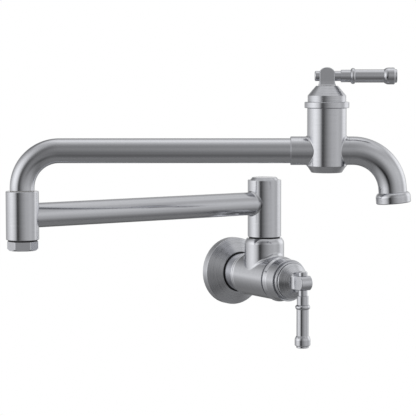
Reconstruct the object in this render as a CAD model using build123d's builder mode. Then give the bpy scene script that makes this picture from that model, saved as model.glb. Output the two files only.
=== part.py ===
"""Wall mounted pot filler: a wall valve, two swinging arms and a spout with its own valve.

Millimetres, +Z up. The origin is the middle of the inlet in the wall plane (Y = 0), the filler stands
out along -Y, and the inner arm rests parallel to the wall along -X with the outer arm folded back over it.
"""

from build123d import *
import math
import os

os.makedirs("parts", exist_ok=True)

# ---- fits ----
running_gap = 0.05  # radial clearance of a part that turns in another
thread_gap = 0.05  # radial clearance of plain cylinders that stand for a thread or a soldered joint
face_gap = 0.05  # axial clearance between faces that slide on each other
free_gap = 0.3  # daylight between parts that move past each other

# ---- layout ----
post_reach = 57.2  # swivel post axis in front of the wall
inner_arm_length = 251.4  # post axis to knuckle axis
outer_arm_length = 260.6  # knuckle axis to spout valve axis
inner_arm_height = 68.7  # inner arm above the inlet axis
arm_rise = 56.0  # outer arm above the inner arm
fold_angle = 33.5  # outer arm swung out from lying over the inner arm, degrees
outer_arm_height = inner_arm_height + arm_rise

# ---- arm tubes ----
tube_radius = 10.65
tube_wall = 1.5
tube_bore = tube_radius - tube_wall
elbow_radius = 32.0
arm_port_radius = 8.0

# ---- wall flange and inlet ----
flange_radius = 32.0
flange_rim = 7.5
flange_height = 16.5
flange_wall = 2.2
flange_mouth = 19.0
flange_collar_wall = 2.5
flange_collar_depth = 6.0
flange_edge = 0.5
gasket_width = 3.4
gasket_thickness = 2.0
grip_ring_recess = 0.6
inlet_radius = 9.3  # minor radius of a half inch pipe thread
inlet_depth = 15.0
adapter_radius = 13.4
adapter_length = 22.0
adapter_hex_length = 5.0
adapter_hex_radius = 15.6
adapter_ring_first = 10.0
adapter_ring_pitch = 4.0
waterway_radius = 6.5
set_screw_radius = 2.0
set_screw_station = 19.4
set_screw_recess = 0.4
set_screw_socket = 1.15
set_screw_socket_depth = 1.8

# ---- valve body ----
shank_radius = 18.0
barrel_radius = 20.1
barrel_start = 29.5
barrel_end = 80.5
barrel_edge = 1.2
tee_radius = 18.5
tee_top = 36.2
tee_shoulder_drop = 5.4
tee_mouth = 16.2
tee_blend = 3.0
tee_thread_radius = 10.0
tee_thread_depth = 12.0

# ---- valve head, the same on both valves, stations from the valve seat ----
chamber_radius = 12.1
chamber_depth = 30.0
head_bore = 13.1
seat_to_neck = 33.4  # seat to the shoulder that the trim ring stands on
neck_radius = 15.0
neck_length = 8.0

# ---- ceramic cartridge, stations from the valve seat ----
seal_thickness = 2.0
seal_bore = 5.0
disc_radius = 8.4
disc_thickness = 3.0
disc_port_radius = 2.2
disc_port_offset = 5.3
moving_disc_width = 8.0
skirt_start = 0.8
skirt_wall = 1.15
window_start = 5.5
window_length = 5.0
window_width = 9.0
stem_foot_length = 3.0
stem_radius = 4.6
stem_tip_radius = 3.6
stem_tip_rise = 3.2  # stem tip beyond the lever axis
body_start = 18.0
body_taper = 2.0
head_thickness = 3.0
guide_radius = 8.2
guide_length = 9.0
lock_nut_length = 5.5
lock_nut_notch = 3.0
lock_nut_notch_depth = 1.8

# ---- trim rings and bonnets ----
trim_groove_length = 3.3
trim_groove_radius = 18.7
trim_crown_rear = 19.6
trim_crown_radius = 20.7
trim_crown_length = 3.8
trim_body_radius = 19.25
trim_front_edge = 0.6
trim_ring_length = 18.0
bonnet_groove_length = 0.5
bonnet_groove_radius = 16.9
bonnet_bead_rear = 17.8
bonnet_bead_front = 16.9
bonnet_bead_length = 3.0
bonnet_line_radius = 15.5
bonnet_line_length = 0.6
bonnet_cone_base = 16.4
bonnet_cone_edge = 0.8
bonnet_cone_top = 9.4
bonnet_spigot_length = 7.3
bonnet_bore = 12.4
bonnet_wall = 2.6
band_radius = 19.1
band_height = 5.2
band_edge = 0.6
cap_radius = 16.4
cap_height = 5.4
cap_edge = 0.3

# ---- swivel post ----
post_radius = 15.6
post_gap = 1.2  # height of the washer between the tee and the post
post_rise = 21.8  # post top above the inner arm axis
post_bore = 11.0
post_edge = 0.5
post_head_radius = 13.35
post_head_depth = 5.8
post_cap_base = 13.2
post_cap_top = 11.3
post_cap_height = 2.4
post_cap_plug = 1.4
base_washer_radius = 14.4
post_stud_radius = 6.0
post_nut_radius = 9.8
post_nut_length = 2.6
washer_thickness = 1.0

# ---- spindles inside the swivels ----
relief_length = 11.5
relief_depth = 1.8
spindle_port_radius = 4.0
post_spindle_bore = 6.5
knuckle_spindle_bore = 5.2
spindle_ring_offset = 11.5
base_ring_rise = 8.0

# ---- knuckle ----
knuckle_radius = 14.25
knuckle_above = 21.4  # knuckle top above the inner arm axis
knuckle_below = 20.5
knuckle_edge = 0.7
knuckle_bore = 9.0
knuckle_stud_radius = 7.0
knuckle_top_gap = 0.6
knuckle_top_washer_radius = 10.4
knuckle_washer_radius = 12.6
knuckle_washer_thickness = 1.3
knuckle_nut_flats = 23.5
knuckle_nut_corner = 13.3
knuckle_nut_length = 7.8
knuckle_nut_floor = 1.2
knuckle_nut_turn = 7.0
spindle_socket = 2.6

# ---- spout body, heights from the outer arm axis ----
spout_body_radius = 16.8
spout_body_below = 18.6
spout_foot_radius = 13.0
spout_foot_height = 5.7
spout_seat_height = 3.0
socket_radius = 12.2
socket_reach = 31.0
socket_depth = 10.0
socket_edge = 0.6
outlet_boss_reach = 19.0
boss_blend = 1.5
lower_chamber_floor = 11.0
inlet_port_drop = 5.0
inlet_port_radius = 5.0
outlet_port_rise = 6.6
outlet_port_radius = 3.5

# ---- spout tube and outlet, stations from the top of the collar ----
spout_radius = 12.15
spout_wall = 2.0
spout_bend_start = 22.3
spout_bend_radius = 34.0
spout_bend = 85.0
spout_drop = 4.5
collar_length = 9.3
collar_lip = 12.5
collar_crown = 14.9
collar_crown_station = 3.9
collar_skirt_end = 8.4
collar_mouth = 14.0
collar_insert = 3.0
aerator_radius = 10.4
aerator_bore = 8.2
aerator_recess = 0.4
aerator_flange = 1.2
aerator_washer_thickness = 1.2
screen_radius = 9.0
screen_thickness = 0.6
screen_hole_radius = 0.55
screen_hole_pitch = 2.2
screen_rings = 3

# ---- O-rings ----
ring_wire = 0.85
ring_clearance = 0.05
groove_extra = 0.5

# ---- handles, along the valve axis (w) and along the lever (u) ----
wall_handle_station = 119.0  # lever axis in front of the wall
spout_handle_height = 63.5  # lever axis above the outer arm
hub_half_width = 6.5
hub_half_depth = 6.0
hub_dome_radius = 7.5
hub_edge = 0.8
hub_waist = 4.4
hub_foot_drop = 8.0
hub_foot_half = 7.5
hub_foot_corner = 2.5
flare_steps = 4
rod_radius = 2.0
rod_end = 9.0
lever_nut_radius = 4.3
lever_nut_length = 4.0
lever_nut_floor = 0.9
lever_nut_edge = 0.5
neck_radius_at_hub = 4.3
neck_end = 11.7
core_radius = 3.0
sleeve_radius = 5.3
sleeve_end = 20.1
collar_bead_radius = 6.8
collar_bead_end = 24.1
grip_radius = 5.6
grip_end = 48.3
cap_flare = 4.1
cap_crown = 7.2
cap_body_length = 4.4
cap_shoulder = 0.8
cap_tip_radius = 5.7
cap_tip_length = 1.8
cap_tip_edge = 0.5
cap_socket = 6.0


def section_through(frame):
    """The plane whose X is the radius and whose Y is the frame's own axis."""
    return Plane(origin=frame.origin, x_dir=frame.x_dir, z_dir=-frame.y_dir)


def axis_of(frame):
    """The line that a turned piece spins about."""
    return Axis(frame.origin, frame.z_dir)


def finish(piece, name):
    """Label a finished piece and write it as its own STEP file."""
    piece.part.label = name
    export_step(piece.part, f"parts/{name}.step")


def plain_ring(frame, start, end, outer, inner):
    """A washer, sleeve or spacer between two stations of a frame."""
    with BuildPart() as ring:
        with BuildSketch(frame.offset(start)):
            Circle(outer)
            Circle(inner, mode=Mode.SUBTRACT)
        extrude(amount=end - start)
    return ring


def turned(frame, corners):
    """A solid of revolution from the corners of its half section, as (radius, station)."""
    with BuildPart() as piece:
        with BuildSketch(section_through(frame)):
            with BuildLine():
                Polyline(*corners, close=True)
            make_face()
        revolve(axis=axis_of(frame))
    return piece


def groove_cut(frame, station, outer):
    """Cut an O-ring groove into the shaft that is being built."""
    width = 2 * ring_wire + groove_extra
    with BuildSketch(frame.offset(station - width / 2)) as groove:
        Circle(outer + width)
        Circle(outer - 2 * ring_wire, mode=Mode.SUBTRACT)
    extrude(groove.sketch, amount=width, mode=Mode.SUBTRACT)


def o_rings(frame, stations, outer):
    """Round-section rings that fill the grooves of a shaft of the given radius."""
    middle = outer - ring_wire
    with BuildPart() as rings:
        with BuildSketch(section_through(frame)):
            with Locations(*[(middle, station) for station in stations]):
                Circle(ring_wire - ring_clearance)
        revolve(axis=axis_of(frame))
    return rings


def cross_ports(frame, height, reach):
    """Drill four ports at right angles through the wall of the spindle that is being built."""
    for way in (frame.x_dir, frame.y_dir):
        level = Plane(origin=frame.origin + frame.z_dir * height, x_dir=frame.z_dir, z_dir=way)
        with BuildSketch(level) as port:
            Circle(spindle_port_radius)
        extrude(port.sketch, amount=reach, both=True, mode=Mode.SUBTRACT)


# ---- frames: z_dir is the axis that the pieces on it are turned about ----
outer_way = Vector(math.cos(math.radians(fold_angle)), -math.sin(math.radians(fold_angle)), 0)
inlet = Plane(origin=(0, 0, 0), x_dir=(1, 0, 0), z_dir=(0, -1, 0))
post = Plane(origin=(0, -post_reach, 0), x_dir=(-1, 0, 0), z_dir=(0, 0, 1))
arm = Plane(origin=(0, -post_reach, inner_arm_height), x_dir=(0, 0, 1), z_dir=(-1, 0, 0))
knuckle = Plane(origin=(-inner_arm_length, -post_reach, 0), x_dir=outer_way, z_dir=(0, 0, 1))
spout = Plane(
    origin=knuckle.origin + outer_way * outer_arm_length + Vector(0, 0, outer_arm_height),
    x_dir=outer_way,
    z_dir=(0, 0, 1),
)
wall_seat = inlet.offset(barrel_end - seat_to_neck)
spout_seat = spout.offset(spout_seat_height)
wall_hub = Plane(origin=(0, -wall_handle_station, 0), x_dir=(0, 0, -1), z_dir=(0, -1, 0))
spout_hub = spout.offset(spout_handle_height)


# ---------------------------------------------------------------- wall flange and inlet

flange_slope = (flange_height - flange_rim) / (flange_radius - flange_edge - flange_mouth)
flange_collar = flange_mouth + flange_collar_wall
flange_inside = flange_radius - flange_wall
collar_foot = flange_height - flange_collar_depth
collar_root = flange_height - flange_wall - flange_slope * flange_collar_wall

wall_flange = turned(
    inlet,
    [
        (flange_radius, 0),
        (flange_radius, flange_rim - flange_edge),
        (flange_radius - flange_edge, flange_rim),
        (flange_mouth, flange_height),
        (flange_mouth, collar_foot),
        (flange_collar, collar_foot),
        (flange_collar, collar_root),
        (flange_inside, flange_rim - flange_wall),
        (flange_inside, 0),
    ],
)
finish(wall_flange, "wall_flange")

gasket_outer = flange_inside - thread_gap
flange_gasket = plain_ring(inlet, 0, gasket_thickness, gasket_outer, gasket_outer - gasket_width)
finish(flange_gasket, "flange_gasket")

grip_ring_outer = flange_mouth - thread_gap
grip_ring_inner = shank_radius + thread_gap
grip_ring = plain_ring(inlet, collar_foot, flange_height - grip_ring_recess, grip_ring_outer, grip_ring_inner)
finish(grip_ring, "flange_grip_ring")

adapter_rings = (adapter_ring_first, adapter_ring_first + adapter_ring_pitch)
with BuildPart() as inlet_adapter:
    with BuildSketch(inlet):
        RegularPolygon(adapter_hex_radius, 6)
    extrude(amount=adapter_hex_length)
    with BuildSketch(inlet):
        Circle(adapter_radius)
    extrude(amount=adapter_length)
    with BuildSketch(inlet):
        Circle(inlet_radius)
    extrude(amount=inlet_depth, mode=Mode.SUBTRACT)
    with BuildSketch(inlet):
        Circle(waterway_radius)
    extrude(amount=adapter_length, mode=Mode.SUBTRACT)
    for ring_station in adapter_rings:
        groove_cut(inlet, ring_station, adapter_radius)
finish(inlet_adapter, "inlet_adapter")

finish(o_rings(inlet, adapter_rings, adapter_radius), "adapter_o_rings")

shank_bore = adapter_radius + thread_gap
screw_head = shank_radius - set_screw_recess
screw_line = Plane(origin=(0, -set_screw_station, 0), x_dir=(1, 0, 0), z_dir=(0, 0, -1))
with BuildPart() as shank_set_screw:
    with BuildSketch(screw_line.offset(shank_bore)):
        Circle(set_screw_radius)
    extrude(amount=screw_head - shank_bore)
    with BuildSketch(screw_line.offset(screw_head)):
        RegularPolygon(set_screw_socket, 6)
    extrude(amount=-set_screw_socket_depth, mode=Mode.SUBTRACT)
finish(shank_set_screw, "shank_set_screw")


# ---------------------------------------------------------------- valve body

tee_shoulder = tee_top - tee_shoulder_drop

with BuildPart() as valve_body:
    with BuildSketch(inlet.offset(barrel_start)):
        Circle(barrel_radius)
    extrude(amount=barrel_end - barrel_start)
    fillet(valve_body.edges().sort_by(Axis.Y)[-1], barrel_edge)
    with BuildSketch(section_through(post)):
        with BuildLine():
            Polyline((tee_mouth, tee_top), (0, tee_top), (0, 0), (tee_radius, 0), (tee_radius, tee_shoulder))
            TangentArc((tee_radius, tee_shoulder), (tee_mouth, tee_top), tangent=(0, 1))
        make_face()
    revolve(axis=axis_of(post))
    crotch = [edge for edge in valve_body.edges() if edge.geom_type not in (GeomType.CIRCLE, GeomType.LINE)]
    fillet(crotch, tee_blend)
    with BuildSketch(inlet.offset(adapter_hex_length)):
        Circle(shank_radius)
    extrude(amount=barrel_start - adapter_hex_length)
    with BuildSketch(inlet.offset(barrel_end)):
        Circle(neck_radius)
    extrude(amount=neck_length)
    # the way in from the wall, and the seat and chamber from the handle side
    with BuildSketch(inlet):
        Circle(shank_bore)
    extrude(amount=adapter_length + face_gap, mode=Mode.SUBTRACT)
    with BuildSketch(inlet):
        Circle(waterway_radius)
    extrude(amount=barrel_end, mode=Mode.SUBTRACT)
    with BuildSketch(wall_seat):
        Circle(chamber_radius)
    extrude(amount=chamber_depth, mode=Mode.SUBTRACT)
    with BuildSketch(wall_seat.offset(chamber_depth)):
        Circle(head_bore)
    extrude(amount=seat_to_neck + neck_length - chamber_depth, mode=Mode.SUBTRACT)
    # the way up into the swivel post
    with BuildSketch(post):
        Circle(arm_port_radius)
    extrude(amount=tee_top, mode=Mode.SUBTRACT)
    with BuildSketch(post.offset(tee_top)):
        Circle(tee_thread_radius)
    extrude(amount=-tee_thread_depth, mode=Mode.SUBTRACT)
    with BuildSketch(screw_line):
        Circle(set_screw_radius + thread_gap)
    extrude(amount=shank_radius, mode=Mode.SUBTRACT)
finish(valve_body, "valve_body")


# ---------------------------------------------------------------- valve heads


moving_disc_start = seal_thickness + disc_thickness + face_gap
moving_disc_end = moving_disc_start + disc_thickness
stem_foot_end = moving_disc_end + stem_foot_length


def make_cartridge(prefix, seat):
    """The still pieces of a ceramic disc cartridge that stands on a seat."""
    finish(plain_ring(seat, 0, seal_thickness, disc_radius, seal_bore), f"{prefix}_seat_seal")

    with BuildPart() as fixed_disc:
        with BuildSketch(seat.offset(seal_thickness)):
            Circle(disc_radius)
            with Locations((disc_port_offset, 0), (-disc_port_offset, 0)):
                Circle(disc_port_radius, mode=Mode.SUBTRACT)
        extrude(amount=disc_thickness)
    finish(fixed_disc, f"{prefix}_fixed_disc")

    skirt_bore = disc_radius + running_gap
    skirt_radius = skirt_bore + skirt_wall
    body_radius = chamber_radius - thread_gap
    head_radius = head_bore - thread_gap
    head_end = chamber_depth + head_thickness
    guide_end = head_end + guide_length
    guide_bore = stem_radius + running_gap
    ceiling = stem_foot_end + face_gap
    ring_station = (body_start + chamber_depth) / 2
    with BuildPart() as cartridge_body:
        with BuildSketch(section_through(seat)):
            with BuildLine():
                Polyline(
                    (skirt_bore, skirt_start),
                    (skirt_radius, skirt_start),
                    (skirt_radius, body_start - body_taper),
                    (body_radius, body_start),
                    (body_radius, chamber_depth),
                    (head_radius, chamber_depth),
                    (head_radius, head_end),
                    (guide_radius, head_end),
                    (guide_radius, guide_end),
                    (guide_bore, guide_end),
                    (guide_bore, ceiling),
                    (skirt_bore, ceiling),
                    close=True,
                )
            make_face()
        revolve(axis=axis_of(seat))
        with BuildSketch(seat.offset(window_start)):
            Rectangle(window_width, 4 * skirt_radius)
        extrude(amount=window_length, mode=Mode.SUBTRACT)
        groove_cut(seat, ring_station, body_radius)
    finish(cartridge_body, f"{prefix}_cartridge_body")
    finish(o_rings(seat, (ring_station,), body_radius), f"{prefix}_cartridge_o_ring")

    with BuildPart() as lock_nut:
        with BuildSketch(seat.offset(head_end)):
            Circle(head_radius)
            Circle(guide_radius + thread_gap, mode=Mode.SUBTRACT)
        extrude(amount=lock_nut_length)
        with BuildSketch(seat.offset(head_end + lock_nut_length)):
            Rectangle(lock_nut_notch, 2 * head_bore)
            Rectangle(2 * head_bore, lock_nut_notch)
        extrude(amount=-lock_nut_notch_depth, mode=Mode.SUBTRACT)
    finish(lock_nut, f"{prefix}_cartridge_nut")


def under_cone(base_radius, base, top):
    """Half section of the hollow under a bonnet's cone, from its bore to its stem hole."""
    fall = base_radius - bonnet_cone_top
    rise = top - base
    depth = bonnet_wall * math.hypot(fall, rise) / fall
    spring = base + (base_radius - bonnet_bore) * rise / fall - depth
    ceiling = top - bonnet_wall
    ceiling_radius = base_radius - (ceiling - base + depth) * fall / rise
    stem_hole = stem_radius + free_gap
    return [(bonnet_bore, spring), (ceiling_radius, ceiling), (stem_hole, ceiling), (stem_hole, top)]


hub_drop = hub_foot_drop + free_gap
wall_cone_top = wall_handle_station - hub_drop
spout_cone_top = spout_handle_height - hub_drop

make_cartridge("wall", wall_seat)
make_cartridge("spout", spout_seat)

# wall valve: a long trim ring with a rounded crown, and a bonnet whose spigot sits in the ring
ring_bore = neck_radius + thread_gap
crown_start = barrel_end + trim_groove_length
trim_ring_end = barrel_end + trim_ring_length
with BuildPart() as wall_trim_ring:
    with BuildSketch(section_through(inlet)):
        with BuildLine():
            crown_rear = (trim_crown_rear, crown_start)
            crown_front = (trim_body_radius, crown_start + trim_crown_length)
            Polyline(
                crown_front,
                (trim_body_radius, trim_ring_end - trim_front_edge),
                (trim_body_radius - trim_front_edge, trim_ring_end),
                (ring_bore, trim_ring_end),
                (ring_bore, barrel_end),
                (trim_groove_radius, barrel_end),
                (trim_groove_radius, crown_start),
                crown_rear,
            )
            ThreePointArc(crown_rear, (trim_crown_radius, crown_start + trim_crown_length / 2), crown_front)
        make_face()
    revolve(axis=axis_of(inlet))
finish(wall_trim_ring, "wall_trim_ring")

bead_start = trim_ring_end + bonnet_groove_length
bead_end = bead_start + bonnet_bead_length
cone_base = bead_end + bonnet_line_length
spigot_end = trim_ring_end - bonnet_spigot_length
with BuildPart() as wall_bonnet:
    with BuildSketch(section_through(inlet)):
        with BuildLine():
            Polyline(
                (bonnet_bead_front, bead_end),
                (bonnet_line_radius, bead_end),
                (bonnet_line_radius, cone_base),
                (bonnet_cone_base, cone_base),
                (bonnet_cone_base, cone_base + bonnet_cone_edge),
                (bonnet_cone_top, wall_cone_top),
                *reversed(under_cone(bonnet_cone_base, cone_base + bonnet_cone_edge, wall_cone_top)),
                (bonnet_bore, spigot_end),
                (neck_radius, spigot_end),
                (neck_radius, trim_ring_end),
                (bonnet_groove_radius, trim_ring_end),
                (bonnet_groove_radius, bead_start),
                (bonnet_bead_rear, bead_start),
            )
            TangentArc((bonnet_bead_rear, bead_start), (bonnet_bead_front, bead_end), tangent=(0, 1))
        make_face()
    revolve(axis=axis_of(inlet))
finish(wall_bonnet, "wall_bonnet")

# spout valve: a narrow band on the neck, then a plain cap with a taller cone
neck_foot = spout_seat_height + seat_to_neck
band_top = neck_foot + band_height
cap_top = band_top + cap_height
neck_top = neck_foot + neck_length
with BuildPart() as spout_trim_ring:
    with BuildSketch(spout.offset(neck_foot)):
        Circle(band_radius)
    extrude(amount=band_height)
    fillet(spout_trim_ring.edges().filter_by(GeomType.CIRCLE), band_edge)
    with BuildSketch(spout.offset(neck_foot)):
        Circle(ring_bore)
    extrude(amount=band_height, mode=Mode.SUBTRACT)
finish(spout_trim_ring, "spout_trim_ring")

spout_bonnet = turned(
    spout,
    [
        (cap_radius, band_top),
        (cap_radius, cap_top - cap_edge),
        (cap_radius - cap_edge, cap_top),
        (bonnet_cone_top, spout_cone_top),
        *reversed(under_cone(cap_radius - cap_edge, cap_top, spout_cone_top)),
        (bonnet_bore, neck_top + thread_gap),
        (ring_bore, neck_top + thread_gap),
        (ring_bore, band_top),
    ],
)
finish(spout_bonnet, "spout_bonnet")


# ---------------------------------------------------------------- swivel post

post_base = tee_top + post_gap
post_top = inner_arm_height + post_rise
post_height = post_top - post_base
post_ledge = post_top - post_head_depth
relief_base = inner_arm_height - relief_length / 2
relief_top = inner_arm_height + relief_length / 2

with BuildPart() as swivel_post:
    with BuildSketch(post.offset(post_base)):
        Circle(post_radius)
    extrude(amount=post_height)
    chamfer(swivel_post.edges().filter_by(GeomType.CIRCLE), post_edge)
    with BuildSketch(post.offset(post_base)):
        Circle(post_bore)
    extrude(amount=post_height, mode=Mode.SUBTRACT)
    with BuildSketch(post.offset(post_top)):
        Circle(post_head_radius)
    extrude(amount=-post_head_depth, mode=Mode.SUBTRACT)
    with BuildSketch(arm):
        Circle(arm_port_radius)
    extrude(amount=post_radius, mode=Mode.SUBTRACT)
finish(swivel_post, "swivel_post")

post_spindle_radius = post_bore - running_gap
post_rings = (
    post_base + base_ring_rise,
    inner_arm_height - spindle_ring_offset,
    inner_arm_height + spindle_ring_offset,
)
spindle_shoulder = post_ledge + face_gap
stud_end = spindle_shoulder + washer_thickness + post_nut_length
with BuildPart() as post_spindle:
    with BuildSketch(section_through(post)):
        with BuildLine():
            Polyline(
                (post_spindle_bore, tee_top - tee_thread_depth),
                (tee_thread_radius - thread_gap, tee_top - tee_thread_depth),
                (tee_thread_radius - thread_gap, tee_top),
                (post_spindle_radius, tee_top),
                (post_spindle_radius, relief_base),
                (post_spindle_radius - relief_depth, relief_base),
                (post_spindle_radius - relief_depth, relief_top),
                (post_spindle_radius, relief_top),
                (post_spindle_radius, spindle_shoulder),
                (post_stud_radius, spindle_shoulder),
                (post_stud_radius, stud_end),
                (0, stud_end),
                (0, relief_top),
                (post_spindle_bore, relief_top),
                close=True,
            )
        make_face()
    revolve(axis=axis_of(post))
    cross_ports(post, inner_arm_height, post_bore)
    for ring_station in post_rings:
        groove_cut(post, ring_station, post_spindle_radius)
finish(post_spindle, "post_spindle")
finish(o_rings(post, post_rings, post_spindle_radius), "post_o_rings")

post_base_washer = plain_ring(post, tee_top, post_base - face_gap, base_washer_radius, post_bore)
finish(post_base_washer, "post_base_washer")

washer_top = spindle_shoulder + washer_thickness
top_washer_radius = post_head_radius - free_gap
post_stud_hole = post_stud_radius + thread_gap
post_top_washer = plain_ring(post, spindle_shoulder, washer_top, top_washer_radius, post_stud_hole)
finish(post_top_washer, "post_top_washer")

with BuildPart() as post_nut:
    with BuildSketch(post.offset(washer_top)):
        RegularPolygon(post_nut_radius, 6)
        Circle(post_stud_hole, mode=Mode.SUBTRACT)
    extrude(amount=post_nut_length)
finish(post_nut, "post_nut")

post_cap = turned(
    post,
    [
        (0, post_top - post_cap_plug),
        (post_head_radius - thread_gap, post_top - post_cap_plug),
        (post_head_radius - thread_gap, post_top),
        (post_cap_base, post_top),
        (post_cap_top, post_top + post_cap_height),
        (0, post_top + post_cap_height),
    ],
)
finish(post_cap, "post_cap")


# ---------------------------------------------------------------- inner arm and knuckle

with BuildPart() as inner_arm_tube:
    with BuildSketch(arm):
        Circle(tube_radius)
    extrude(amount=inner_arm_length)
    with BuildSketch(post):
        Circle(post_radius + thread_gap)
    with BuildSketch(knuckle):
        Circle(knuckle_radius + thread_gap)
    extrude(amount=inner_arm_height + 2 * tube_radius, mode=Mode.SUBTRACT)
    with BuildSketch(arm):
        Circle(tube_bore)
    extrude(amount=inner_arm_length, mode=Mode.SUBTRACT)
finish(inner_arm_tube, "inner_arm_tube")

knuckle_base = inner_arm_height - knuckle_below
knuckle_top = inner_arm_height + knuckle_above
knuckle_height = knuckle_above + knuckle_below
with BuildPart() as knuckle_body:
    with BuildSketch(knuckle.offset(knuckle_base)):
        Circle(knuckle_radius)
    extrude(amount=knuckle_height)
    chamfer(knuckle_body.edges().filter_by(GeomType.CIRCLE), knuckle_edge)
    with BuildSketch(knuckle.offset(knuckle_base)):
        Circle(knuckle_bore)
    extrude(amount=knuckle_height, mode=Mode.SUBTRACT)
    with BuildSketch(arm.offset(inner_arm_length)):
        Circle(arm_port_radius)
    extrude(amount=-knuckle_radius, mode=Mode.SUBTRACT)
finish(knuckle_body, "knuckle_body")


# ---------------------------------------------------------------- outer arm

tube_foot = knuckle_top + knuckle_top_gap
tube_end = outer_arm_length - socket_reach + socket_depth
with BuildPart() as outer_arm_tube:
    with BuildLine(section_through(knuckle)):
        FilletPolyline(
            (0, tube_foot),
            (0, outer_arm_height),
            (tube_end, outer_arm_height),
            radius=elbow_radius,
        )
    with BuildSketch(knuckle.offset(tube_foot)):
        Circle(tube_radius)
        Circle(tube_bore, mode=Mode.SUBTRACT)
    sweep()
finish(outer_arm_tube, "outer_arm_tube")

knuckle_spindle_radius = knuckle_bore - running_gap
knuckle_rings = (inner_arm_height - spindle_ring_offset, inner_arm_height + spindle_ring_offset)
nut_top = knuckle_base - knuckle_washer_thickness
nut_base = nut_top - knuckle_nut_length
stud_foot = nut_base + knuckle_nut_floor + face_gap
with BuildPart() as knuckle_spindle:
    with BuildSketch(section_through(knuckle)):
        with BuildLine():
            Polyline(
                (0, stud_foot),
                (knuckle_stud_radius, stud_foot),
                (knuckle_stud_radius, knuckle_base),
                (knuckle_spindle_radius, knuckle_base),
                (knuckle_spindle_radius, relief_base),
                (knuckle_spindle_radius - relief_depth, relief_base),
                (knuckle_spindle_radius - relief_depth, relief_top),
                (knuckle_spindle_radius, relief_top),
                (knuckle_spindle_radius, tube_foot),
                (tube_bore - thread_gap, tube_foot),
                (tube_bore - thread_gap, tube_foot + spindle_socket),
                (knuckle_spindle_bore, tube_foot + spindle_socket),
                (knuckle_spindle_bore, relief_base),
                (0, relief_base),
                close=True,
            )
        make_face()
    revolve(axis=axis_of(knuckle))
    cross_ports(knuckle, inner_arm_height, knuckle_bore)
    for ring_station in knuckle_rings:
        groove_cut(knuckle, ring_station, knuckle_spindle_radius)
finish(knuckle_spindle, "knuckle_spindle")
finish(o_rings(knuckle, knuckle_rings, knuckle_spindle_radius), "knuckle_o_rings")

knuckle_top_washer = plain_ring(
    knuckle,
    knuckle_top + face_gap,
    tube_foot,
    knuckle_top_washer_radius,
    knuckle_bore,
)
finish(knuckle_top_washer, "knuckle_top_washer")

knuckle_stud_hole = knuckle_stud_radius + thread_gap
knuckle_bottom_washer = plain_ring(
    knuckle,
    nut_top,
    knuckle_base - face_gap,
    knuckle_washer_radius,
    knuckle_stud_hole,
)
finish(knuckle_bottom_washer, "knuckle_bottom_washer")

with BuildPart() as knuckle_nut:
    with BuildSketch(knuckle.offset(nut_base)):
        RegularPolygon(knuckle_nut_flats / 2, 6, major_radius=False, rotation=knuckle_nut_turn)
    extrude(amount=knuckle_nut_length)
    chamfer_drop = knuckle_nut_corner - knuckle_nut_flats / 2
    with BuildSketch(section_through(knuckle)):
        with BuildLine():
            Polyline(
                (0, nut_base),
                (knuckle_nut_flats / 2, nut_base),
                (knuckle_nut_corner, nut_base + chamfer_drop),
                (knuckle_nut_corner, nut_top),
                (0, nut_top),
                close=True,
            )
        make_face()
    revolve(axis=axis_of(knuckle), mode=Mode.INTERSECT)
    with BuildSketch(knuckle.offset(nut_top)):
        Circle(knuckle_stud_hole)
    extrude(amount=knuckle_nut_floor - knuckle_nut_length, mode=Mode.SUBTRACT)
finish(knuckle_nut, "knuckle_nut")


# ---------------------------------------------------------------- spout body

towards_arm = Plane(origin=spout.origin, x_dir=spout.y_dir, z_dir=-outer_way)
towards_outlet = Plane(origin=spout.origin, x_dir=spout.y_dir, z_dir=outer_way)

with BuildPart() as spout_body:
    with BuildSketch(section_through(spout)):
        with BuildLine():
            Polyline(
                (0, -spout_body_below),
                (spout_foot_radius, -spout_body_below),
                (spout_body_radius, spout_foot_height - spout_body_below),
                (spout_body_radius, neck_foot),
                (0, neck_foot),
                close=True,
            )
        make_face()
    revolve(axis=axis_of(spout))
    with BuildSketch(towards_arm):
        Circle(socket_radius)
    extrude(amount=socket_reach)
    chamfer(spout_body.faces().sort_by(Axis(spout.origin, -outer_way))[-1].edges(), socket_edge)
    with BuildSketch(towards_outlet):
        Circle(spout_radius)
    extrude(amount=outlet_boss_reach)
    joins = [edge for edge in spout_body.edges() if edge.geom_type not in (GeomType.CIRCLE, GeomType.LINE)]
    fillet(joins, boss_blend)
    with BuildSketch(spout.offset(neck_foot)):
        Circle(neck_radius)
    extrude(amount=neck_length)
    # the way in from the arm, under the seat
    with BuildSketch(towards_arm.offset(socket_reach)):
        Circle(tube_radius + thread_gap)
    extrude(amount=-socket_depth, mode=Mode.SUBTRACT)
    inlet_port = Plane(
        origin=spout.origin - spout.z_dir * inlet_port_drop,
        x_dir=spout.y_dir,
        z_dir=-outer_way,
    )
    with BuildSketch(inlet_port):
        Circle(inlet_port_radius)
    extrude(amount=socket_reach, mode=Mode.SUBTRACT)
    with BuildSketch(spout_seat):
        Circle(waterway_radius)
    extrude(amount=-(spout_seat_height + lower_chamber_floor), mode=Mode.SUBTRACT)
    # the chamber above the seat, and the way out to the spout
    with BuildSketch(spout_seat):
        Circle(chamber_radius)
    extrude(amount=chamber_depth, mode=Mode.SUBTRACT)
    with BuildSketch(spout_seat.offset(chamber_depth)):
        Circle(head_bore)
    extrude(amount=seat_to_neck + neck_length - chamber_depth, mode=Mode.SUBTRACT)
    outlet_port = Plane(
        origin=spout.origin + spout.z_dir * outlet_port_rise,
        x_dir=spout.y_dir,
        z_dir=outer_way,
    )
    with BuildSketch(outlet_port):
        Circle(outlet_port_radius)
    extrude(amount=outlet_boss_reach, mode=Mode.SUBTRACT)
finish(spout_body, "spout_body")


# ---------------------------------------------------------------- spout tube and outlet

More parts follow.
